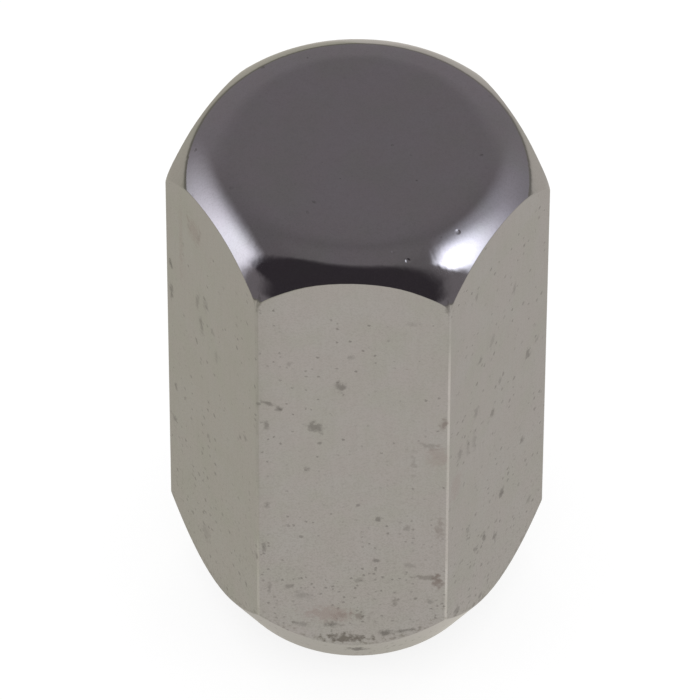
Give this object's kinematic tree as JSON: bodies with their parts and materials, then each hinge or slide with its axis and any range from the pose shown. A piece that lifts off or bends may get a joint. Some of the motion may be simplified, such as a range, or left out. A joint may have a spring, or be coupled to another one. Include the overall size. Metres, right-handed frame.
{
  "type": "lug nut",
  "caption": "Closed-end hexagonal wheel nut with a rounded crown, a conical seat and a blind threaded hole.",
  "frame": {"origin": "centre of the open end face, on which the nut stands", "axes": "+Z along the nut's axis, from the open end to the closed crown; +Y square to one flat of the hexagon; +X out through one corner of it"},
  "size_m": [0.0218, 0.019, 0.0355],
  "materials": {
    "chrome": "polished"
  },
  "bodies": {
    "root": {"lug_nut": "chrome"}
  },
  "joints": []
}
